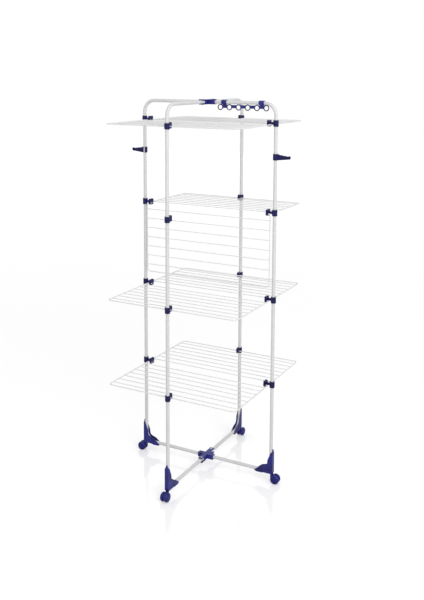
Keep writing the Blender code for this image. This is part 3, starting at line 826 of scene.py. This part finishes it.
def hub():
    """The cross piece, with the main tube along X and the forks along Y."""
    half = HUB_HALF
    sleeve = box((-SLEEVE_HALF, -half, -half), (SLEEVE_HALF, half, half))
    forks = box((-half, -FORK_REACH, -half), (half, FORK_REACH, half))
    bodies = [sleeve, forks]
    far = SLEEVE_HALF + OVERRUN
    top = half + OVERRUN
    cuts = [bar((-far, 0, 0), (far, 0, 0), TUBE_HOLE)]
    root = PIVOT_OFFSET - math.hypot(ARM_TAIL, TUBE_RADIUS) - FORK_ROOT_GAP
    for way in ENDS.values():
        pivot = way * PIVOT_OFFSET
        rim = half + BOSS_HEIGHT
        bodies.append(bar((0, pivot, -rim), (0, pivot, rim), BOSS_RADIUS))
        end = way * (FORK_REACH + OVERRUN)
        cuts.append(box((-top, way * root, -TUBE_HOLE), (top, end, TUBE_HOLE)))
        for side in (1, -1):
            cuts.append(bar((0, pivot, side * half), (0, pivot, side * top), PIN_HEAD_RADIUS + CLEARANCE))
        notch = way * (FORK_REACH + NOTCH_RADIUS / 2)
        cuts.append(bar((0, notch, -top), (0, notch, top), NOTCH_RADIUS))
        for side in (-1, 1):
            inner, outer = side * (half + WAIST_RADIUS), side * (SLEEVE_HALF - WAIST_RADIUS)
            cuts.append(box((inner, -half / 2, way * (half - BOSS_HEIGHT)), (outer, half / 2, way * top)))
    return soften(solid(bodies, cuts), HEAVY_EDGE)


hub_mesh = hub()
for part, height in (("top", TOP_HEIGHT), ("base", BASE_HEIGHT)):
    put_moulding(hub_mesh, f"{part}_hub", "main_frame", BLUE_PLASTIC, Matrix.Translation((0, 0, height)))
print("hub faces", len(hub_mesh.polygons))

# %% Rivets on four points
SHANK_SIDES = 24
DOME_SIDES, DOME_RINGS = 32, 16


def rivet_tree():
    """A shank and two domed heads on every point of the guide."""
    tree = Tree("pivot rivet")
    grip, shank_radius = tree.sizes("Half Grip", "Shank Radius")
    head_radius, head_height = tree.sizes("Head Radius", "Head Height")
    shank = tree.node("GeometryNodeMeshCylinder", {"fill_type": "NGON"},
                      {"Vertices": SHANK_SIDES, "Radius": shank_radius,
                       "Depth": tree.sum("MULTIPLY", grip, 2.0)}, "Mesh")
    dome = tree.node("GeometryNodeMeshUVSphere", {},
                     {"Segments": DOME_SIDES, "Rings": DOME_RINGS, "Radius": head_radius}, "Mesh")
    squash = tree.point(1.0, 1.0, tree.sum("DIVIDE", head_height, head_radius))
    parts = [shank]
    for way in (1.0, -1.0):
        lift = tree.point(0.0, 0.0, tree.sum("MULTIPLY", grip, way))
        parts.append(tree.node("GeometryNodeTransform", {},
                               {"Geometry": dome, "Translation": lift, "Scale": squash}))
    rivet = tree.node("GeometryNodeJoinGeometry", {}, {"Geometry": parts})
    tree.finish(tree.on_points(rivet))
    return tree


pin_nodes = [f"{end}_{part}_pivot_pin" for end in ENDS for part in ("top", "base")]
pin_places = [sum(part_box(node), Vector()) / 2 for node in pin_nodes]
rivets = rivet_tree().grow(line_mesh(pin_places), {
    "Half Grip": HUB_HALF + CLEARANCE, "Shank Radius": PIN_RADIUS, "Head Radius": PIN_HEAD_RADIUS,
    "Head Height": PIN_HEAD_HEIGHT, "Material": ZINC})
put(rivets, "pivot_rivets", "main_frame", pin_nodes, ZINC)
print("rivets at", [tuple(round(value, 3) for value in place) for place in pin_places])

# %% [markdown]
# ## Foot brackets
#
# Each foot is a moulded channel round the tube's lower bend: two side plates with a fin up the
# post and a toe along the base tube. Its outline is a list of corners with radii, which reads like
# a drawing, and the tube's own bent path cuts the channel.

# %% The four feet
FOOT_HALF_WIDTH = 0.0102
FOOT_OUTER = 0.0117
FOOT_TOP = 0.166
FOOT_GROUND_GAP = 0.0437
FOOT_SPIKE_HALF_WIDTH = 0.0035
FOOT_SPIKE_SWEEP = 0.030
FOOT_TOE = 0.083
FOOT_LIP = 0.003
FOOT_SOLE = BASE_HEIGHT - TUBE_RADIUS - CLEARANCE - FOOT_LIP
STEM_OUT = 0.005
STEM_RADIUS = 0.004
STEM_LENGTH = 0.012
PANEL_DEPTH = 0.0008

# Corners are x, z and a radius
FOOT_OUTLINE = [
    (FOOT_OUTER, FOOT_GROUND_GAP, 0.006), (FOOT_OUTER, FOOT_TOP - 0.008, 0.008),
    (0.0095, FOOT_TOP, 0.001), (-0.014, 0.110, 0.010), (-0.016, 0.083, 0.020),
    (-0.0495, 0.0725, 0.008), (-FOOT_TOE, 0.0465, 0.003), (-0.072, FOOT_SOLE, 0.004),
    (-0.044, FOOT_SOLE, 0), (-0.036, FOOT_GROUND_GAP, 0)]
FOOT_PANEL = [
    (0.0075, 0.058, 0.006), (0.0075, FOOT_TOP - 0.030, 0.004), (-0.0085, 0.108, 0.006),
    (-0.0105, 0.078, 0.016), (-0.047, 0.0665, 0.005), (-0.070, 0.0495, 0.002),
    (-0.040, 0.0495, 0.006)]


def panel_cuts(outline, half_width):
    """The two cutters that sink a panel into both sides of a plate."""
    middle = half_width + OVERRUN / 2 - PANEL_DEPTH
    return [plate(outline, OVERRUN / 2, way * middle) for way in (-1, 1)]


def foot():
    """A channel facing +X on the post at x = 0, open towards the airer's middle."""
    wall = TUBE_HOLE
    high = FOOT_TOP + OVERRUN
    inner = -FOOT_TOE - OVERRUN
    path = rounded([(wall, 0, high), (wall, 0, BASE_HEIGHT - wall), (inner, 0, BASE_HEIGHT - wall)],
                   BEND_RADIUS + wall, BEND_STEPS)
    channel = [(point.x, point.z) for point in path] + [(inner, high)]
    stem_top = FOOT_GROUND_GAP + STEM_LENGTH + CLEARANCE
    cuts = [plate(channel, wall),
            bar((STEM_OUT, 0, FOOT_GROUND_GAP - OVERRUN), (STEM_OUT, 0, stem_top),
                STEM_RADIUS + CLEARANCE)]
    side = FOOT_SPIKE_HALF_WIDTH + FOOT_SPIKE_SWEEP
    for way in (-1, 1):
        cuts.append(bar((inner, way * side, FOOT_TOP), (-inner, way * side, FOOT_TOP), FOOT_SPIKE_SWEEP))
    cuts += panel_cuts(rounded_outline(FOOT_PANEL), FOOT_HALF_WIDTH)
    return soften(solid([plate(rounded_outline(FOOT_OUTLINE), FOOT_HALF_WIDTH)], cuts), HEAVY_EDGE)


foot_mesh = foot()
for name, (body, turn) in CORNERS.items():
    reach = HALF_WIDTH if body == "main_frame" else HALF_DEPTH
    post = Vector((math.cos(turn), math.sin(turn), 0)) * reach
    put(foot_mesh, f"{name}_foot_moulding", body, [f"{name}_foot_bracket"], BLUE_PLASTIC,
        facing(post, turn))
print("foot faces", len(foot_mesh.polygons))

# %% [markdown]
# ## Castors
#
# The wheels look like blue balls, because twin wheels with domed faces stand close together. A
# turned profile gives dome, tread and hub cap at once. The body between them carries the axle and
# a stem that swivels in the foot.

# %% Twin wheels
WHEEL_RADIUS = 0.021
WHEEL_WIDTH = 0.014
WHEEL_GAP = 0.005
WHEEL_SIDES = 64
WHEEL_SHARP_ANGLE = math.radians(50)
WHEEL_FLAT_RADIUS = 0.0175
INNER_ROUND = 0.0025
OUTER_ROUND = 0.007
DOME_DEPTH = 0.0075
AXLE_RADIUS = 0.003
TREAD_START = 0.0195

# Pairs of radius and depth below the outer face: dome, groove round the hub cap, cap
WHEEL_FACE = [(0.0148, 0.0012), (0.0110, 0.0004), (0.0092, 0.0003), (0.0088, 0.0011),
              (0.0080, 0.0011), (0.0076, 0.0002), (0.0040, 0), (0, 0)]


def arc_profile(centre, radius, start, end, steps):
    """(radius, height) pairs of an arc, with its angles in degrees."""
    angles = [math.radians(start + (end - start) * step / steps) for step in range(steps + 1)]
    return [(centre[0] + radius * math.cos(a), centre[1] + radius * math.sin(a)) for a in angles]


def wheel_profile():
    """From the inner face to the middle of the domed outer face."""
    start, end = WHEEL_GAP, WHEEL_GAP + WHEEL_WIDTH
    profile = [(0, start), (WHEEL_FLAT_RADIUS, start)]
    inner = (WHEEL_RADIUS - INNER_ROUND, start + INNER_ROUND)
    outer = (WHEEL_RADIUS - OUTER_ROUND, end - DOME_DEPTH)
    profile += arc_profile(inner, INNER_ROUND, -90, 0, 5)
    profile += arc_profile(outer, OUTER_ROUND, 0, 55, 10)
    return profile + [(radius, end - depth) for radius, depth in WHEEL_FACE]


def wheels():
    """Two wheels and their axle along Y, with the attribute that marks the tread."""
    lathe = solid([turned(wheel_profile(), WHEEL_SIDES)])
    half = lathe.copy()
    lathe.transform(Matrix.Rotation(math.pi / 2, 4, "X"))
    half.transform(Matrix.Rotation(-math.pi / 2, 4, "X"))
    axle = WHEEL_GAP + WHEEL_WIDTH / 2
    mesh = bpy.data.meshes.new("wheels")
    shape = bmesh.new()
    for part in (lathe, half, solid([bar((0, -axle, 0), (0, axle, 0), AXLE_RADIUS)])):
        shape.from_mesh(part)
    shape.to_mesh(mesh)
    shape.free()
    marks = mesh.attributes.new(TREAD, "FLOAT", "POINT")
    for vertex, mark in zip(mesh.vertices, marks.data):
        reach = math.hypot(vertex.co.x, vertex.co.z)
        mark.value = min(max((reach - TREAD_START) / (WHEEL_RADIUS - TREAD_START), 0), 1)
    mesh.shade_smooth()
    mesh.set_sharp_from_angle(angle=WHEEL_SHARP_ANGLE)
    return mesh


# %% Castor bodies
TRAIL = 0.018
BODY_HALF_THICKNESS = 0.0043
BODY_RADIUS = 0.0165
FLANGE_RADIUS = 0.0085
FLANGE_HEIGHT = 0.0028
NECK_BACK = STEM_RADIUS * 1.6
NECK_ROUND = 0.004
NECK_SHOULDER = 0.006
NECK_LIFT = 0.002
FLANGE_LAP = 0.0008


def castor_body():
    """The body facing +X with its stem at x = 0 and its axle one trail further out."""
    top = FOOT_GROUND_GAP - CLEARANCE
    flange = top - FLANGE_HEIGHT
    half = BODY_HALF_THICKNESS
    neck = rounded_outline([(-NECK_BACK, WHEEL_RADIUS + NECK_LIFT, NECK_ROUND),
                            (TRAIL, WHEEL_RADIUS - NECK_ROUND, 0), (TRAIL, flange, NECK_SHOULDER),
                            (-NECK_BACK, flange + FLANGE_LAP, NECK_LIFT / 2)])
    bodies = [bar((TRAIL, -half, WHEEL_RADIUS), (TRAIL, half, WHEEL_RADIUS), BODY_RADIUS),
              plate(neck, half), bar((0, 0, flange), (0, 0, top), FLANGE_RADIUS),
              bar((0, 0, WHEEL_RADIUS + NECK_ROUND), (0, 0, FOOT_GROUND_GAP + STEM_LENGTH), STEM_RADIUS)]
    return soften(solid(bodies), COLLAR_EDGE)


wheel_mesh = wheels()
castor_mesh = castor_body()
for name, (body, turn) in CORNERS.items():
    axle = joint_place(f"{name}_castor_roll")
    stem = joint_place(f"{name}_castor_swivel")
    put(wheel_mesh, f"{name}_twin_wheels", f"{name}_castor_wheels", [f"{name}_castor_wheels"],
        WHEEL_PLASTIC, facing(axle, turn))
    put(castor_mesh, f"{name}_castor_moulding", f"{name}_castor_body", [f"{name}_castor_body"],
        BLUE_PLASTIC, facing((stem.x, stem.y, 0), turn))
print("wheel faces", len(wheel_mesh.polygons), "castor body faces", len(castor_mesh.polygons))

# %% [markdown]
# ## Places for clothes hangers
#
# A notched arm is snapped round each main post, and a rack of six rings hangs under the top tube.
# The rings repeat, so one ring with a rounded section is drawn once and set on six points.

# %% Hanger arms
ARM_REACH = 0.0715
ARM_ROOT = 0.0138
ARM_TIP = 0.0072
ARM_HALF_THICKNESS = 0.003
ARM_TIP_LENGTH = 0.008
ARM_NOTCH_DEPTH = 0.0016
ARM_NOTCH_COUNT = 3
ARM_RING_RADIUS = 0.012
ARM_MOUTH = 0.0055
ARM_EDGE = 0.0005
ARM_PANEL = [(0.018, -0.0095, 0.002), (0.064, -0.0045, 0.002), (0.064, 0.0015, 0.001),
             (0.018, 0.0055, 0.002)]
ARM_STEPS = 4


def hanger_arm():
    """A tapered arm facing +X on a snap ring, notched on top for the hooks of hangers."""
    start = TUBE_HOLE
    flat_end = ARM_REACH - ARM_TIP_LENGTH
    slope_start = ARM_RING_RADIUS
    outline = [(start, -ARM_ROOT, 0), (slope_start, -ARM_ROOT, 0), (ARM_REACH, -ARM_TIP, 0.004),
               (ARM_REACH, ARM_TIP, 0.002), (flat_end, ARM_TIP, 0)]
    pitch = (flat_end - slope_start) / ARM_NOTCH_COUNT
    for number in range(ARM_NOTCH_COUNT):
        outer = flat_end - number * pitch
        share = (outer - slope_start) / (flat_end - slope_start)
        top = ARM_ROOT + (ARM_TIP - ARM_ROOT) * share
        outline.append((outer, top - ARM_NOTCH_DEPTH, ARM_NOTCH_DEPTH / 3))
        outline.append((outer - pitch / 2, top - ARM_NOTCH_DEPTH, ARM_NOTCH_DEPTH / 2))
    outline += [(slope_start, ARM_ROOT, 0), (start, ARM_ROOT, 0)]
    far = ARM_ROOT + OVERRUN
    bodies = [bar((0, 0, -ARM_ROOT), (0, 0, ARM_ROOT), ARM_RING_RADIUS),
              plate(rounded_outline(outline, ARM_STEPS), ARM_HALF_THICKNESS)]
    cuts = [bar((0, 0, -far), (0, 0, far), TUBE_HOLE),
            box((-ARM_MOUTH, 0, -far), (ARM_MOUTH, ARM_RING_RADIUS + OVERRUN, far))]
    cuts += panel_cuts(rounded_outline(ARM_PANEL, ARM_STEPS), ARM_HALF_THICKNESS)
    return soften(solid(bodies, cuts), ARM_EDGE)


arm_mesh = hanger_arm()
for side in ("left", "right"):
    name = f"{side}_hanger_arm"
    put_moulding(arm_mesh, name, name, DARK_PLASTIC, facing(joint_place(f"{name}_turn"), CORNERS[side][1]))
print("arm faces", len(arm_mesh.polygons))

# %% The ring rack
RING_COUNT = 6
RING_DROP = 0.0225
RING_MIDDLE = 0.01195
RING_HALF_WALL = 0.0023
RING_HALF_THICKNESS = 0.0019
RACK_HALF_THICKNESS = 0.0015
RACK_BAR_TOP = 0.0105
RACK_BAR_BOTTOM = -0.004
RING_END = 0.00714
CLIP_RADIUS = 0.011
CLIP_HALF_WIDTH = 0.0125
CLIP_WEB_HALF_WIDTH = 0.0085
CLIP_FROM_ENDS = 0.0213
CLIP_WEB_HALF_THICKNESS = 0.0012
CLIP_WEB_LAP = 0.003
RACK_EDGE = 0.0004
RING_SECTION_SIDES = 16


def ring_tree():
    """A ring with an oval section on every point of the guide, standing in the X-Z plane."""
    tree = Tree("hanger rings")
    middle, half_wall, thick = tree.sizes("Ring Radius", "Half Wall", "Half Thickness")
    path = tree.circle(middle, ROUND_SIDES)
    section = tree.circle(half_wall, RING_SECTION_SIDES)
    ratio = tree.point(1.0, tree.sum("DIVIDE", thick, half_wall), 1.0)
    oval = tree.node("GeometryNodeTransform", {}, {"Geometry": section, "Scale": ratio})
    ring = tree.node("GeometryNodeCurveToMesh", {}, {"Curve": path, "Profile Curve": oval})
    upright = tree.node("GeometryNodeTransform", {},
                        {"Geometry": ring, "Rotation": (math.pi / 2, 0.0, 0.0)})
    tree.finish(tree.on_points(upright))
    return tree


rack_low, rack_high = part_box("hanger_rack")
rack_middle = joint_place("hanger_rack_tip")
bar_half = (rack_high.x - rack_low.x) / 2
ring_span = bar_half * 2 - 2 * (RING_MIDDLE + RING_HALF_WALL)
ring_places = [(ring_span * (number / (RING_COUNT - 1) - 0.5), 0, -RING_DROP)
               for number in range(RING_COUNT)]
rings = ring_tree().grow(line_mesh(ring_places), {
    "Ring Radius": RING_MIDDLE, "Half Wall": RING_HALF_WALL, "Half Thickness": RING_HALF_THICKNESS,
    "Material": DARK_PLASTIC})
put(rings, "hanger_rings", "hanger_rack", ["hanger_rack"], DARK_PLASTIC,
    Matrix.Translation(rack_middle))


def rack_bar():
    """The bar over the rings with its two clips round the top tube."""
    low, high = -RING_DROP + RACK_BAR_BOTTOM, -RING_DROP + RACK_BAR_TOP
    end = ring_span / 2 + RING_END
    bodies = [box((-end, -RACK_HALF_THICKNESS, low), (end, RACK_HALF_THICKNESS, high))]
    cuts = [bar((x, -CLIP_RADIUS, z), (x, CLIP_RADIUS, z), RING_MIDDLE - RING_HALF_WALL)
            for x, _, z in ring_places]
    bodies = [linked(solid(bodies, cuts))]
    for way in (-1, 1):
        x = way * (ring_span / 2 - CLIP_FROM_ENDS)
        bodies.append(bar((x - CLIP_HALF_WIDTH, 0, 0), (x + CLIP_HALF_WIDTH, 0, 0), CLIP_RADIUS))
        bodies.append(box((x - CLIP_WEB_HALF_WIDTH, -CLIP_WEB_HALF_THICKNESS, high - CLIP_WEB_LAP),
                          (x + CLIP_WEB_HALF_WIDTH, CLIP_WEB_HALF_THICKNESS, -TUBE_RADIUS)))
    hole = bar((-end - OVERRUN, 0, 0), (end + OVERRUN, 0, 0), TUBE_HOLE)
    return soften(solid(bodies, [hole]), RACK_EDGE)


put(rack_bar(), "hanger_rack_bar", "hanger_rack", ["hanger_rack"], BLUE_PLASTIC,
    Matrix.Translation(rack_middle))
print("rings", len(rings.polygons), "faces, span", round(ring_span, 4))

# %% [markdown]
# ## Bushes that stay as packed
#
# The hinge bushes are plain sleeves inside the lugs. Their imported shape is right, so they keep it
# and only take a better material.

# %% New material on the bushes
for end in ENDS:
    for level in LEVELS:
        bush = frame["nodes"][f"{end}_wing_bush_{level}"]
        bush.material_slots[0].material = BUSH_PLASTIC
print("bushes", 2 * len(LEVELS))

# %% [markdown]
# ## Studio, light and camera
#
# The photograph is a white studio shot: an endless glossy white floor, a large soft light from the
# upper right and pale fill all round. The world is white to the camera and in reflections, but
# lights the airer at half that level. The floor glows a little to the camera alone, which keeps
# its shadows faint.

# %% Floor and world
FLOOR_HALF = 14.0
FLOOR_DEPTH = 0.02
FLOOR_GLOW = 0.345
FLOOR_PALE = (0.86, 0.86, 0.86)
FLOOR_GLOSS = 1.0
BLACK, WHITE = (0.0, 0.0, 0.0), (1.0, 1.0, 1.0)
WORLD_LIGHT = 0.50


def floor_finish():
    pale = Finish("pale floor")
    seen = pale.node("ShaderNodeLightPath", output="Is Camera Ray")
    glow = pale.blend(seen, BLACK, (FLOOR_GLOW,) * 3)
    return pale.set(Base_Color=FLOOR_PALE, Roughness=0.08, Specular_IOR_Level=FLOOR_GLOSS,
                    Emission_Color=glow, Emission_Strength=1.0)


floor = box((-FLOOR_HALF, -FLOOR_HALF, -FLOOR_DEPTH), (FLOOR_HALF, FLOOR_HALF, 0))
floor.name = "studio_floor"
floor.data.materials.append(floor_finish())

world = bpy.data.worlds.new("studio")
bpy.context.scene.world = world
world.use_nodes = True
sky = world.node_tree
soft = sky.nodes["Background"]
feed(sky, soft.inputs["Color"], WHITE)
feed(sky, soft.inputs["Strength"], WORLD_LIGHT)
rays = [add_node(sky, "ShaderNodeLightPath", output=name) for name in ("Is Camera Ray", "Is Glossy Ray")]
seen = add_node(sky, "ShaderNodeMath", {"operation": "MAXIMUM"}, {0: rays[0], 1: rays[1]})
white = add_node(sky, "ShaderNodeBackground", {}, {"Color": WHITE})
mix = add_node(sky, "ShaderNodeMixShader", {}, {0: seen, 1: soft.outputs[0], 2: white})
feed(sky, sky.nodes["World Output"].inputs["Surface"], mix)

# %% Lights
def soft_light(name, place, target, size, power):
    """A large area light that looks at a point."""
    light = bpy.data.lights.new(name, "AREA")
    light.shape = "DISK"
    light.size = size
    light.energy = power
    item = linked(light, name)
    item.location = place
    item.rotation_euler = (Vector(target) - Vector(place)).to_track_quat("-Z", "Y").to_euler()


MIDDLE = (0.0, 0.0, 0.9)
soft_light("key", (3.2, -2.6, 3.6), MIDDLE, size=4.6, power=130)
soft_light("fill", (-3.4, -2.0, 2.4), MIDDLE, size=2.6, power=6)

# %% [markdown]
# ## The camera
#
# The camera's place and angle were found by fitting the airer's posts, tubes and wheels to the
# photograph. It looks a little down from the front right: a yaw, a pitch and a very small roll, one
# after the other. The picture is part of a taller view, so the lens is shifted instead of tilted
# further, which keeps the posts' slight taper right.

# %% Camera
CAMERA_PLACE = (1.7836, -3.3039, 1.9136)
CAMERA_YAW = -0.48931
CAMERA_PITCH = 0.13357
CAMERA_ROLL = 0.00477
IMAGE_HEIGHT = 600
FOCAL_PIXELS = 811.70
SHIFT_PIXELS = 120.0
SENSOR = 36.0

lens = bpy.data.cameras.new("camera")
lens.sensor_fit = "VERTICAL"
lens.sensor_height = SENSOR
lens.lens = FOCAL_PIXELS * SENSOR / IMAGE_HEIGHT
lens.shift_y = -SHIFT_PIXELS / IMAGE_HEIGHT
aim = Matrix.Translation(CAMERA_PLACE)
for angle, axis in ((-CAMERA_YAW, "Z"), (math.pi / 2 - CAMERA_PITCH, "X"), (CAMERA_ROLL, "Z")):
    aim = aim @ Matrix.Rotation(angle, 4, axis)
camera = linked(lens, "camera")
camera.matrix_world = aim
bpy.context.scene.camera = camera
bpy.context.scene.view_settings.view_transform = "Standard"
print("lens", round(lens.lens, 2), "mm, shift", round(lens.shift_y, 3))
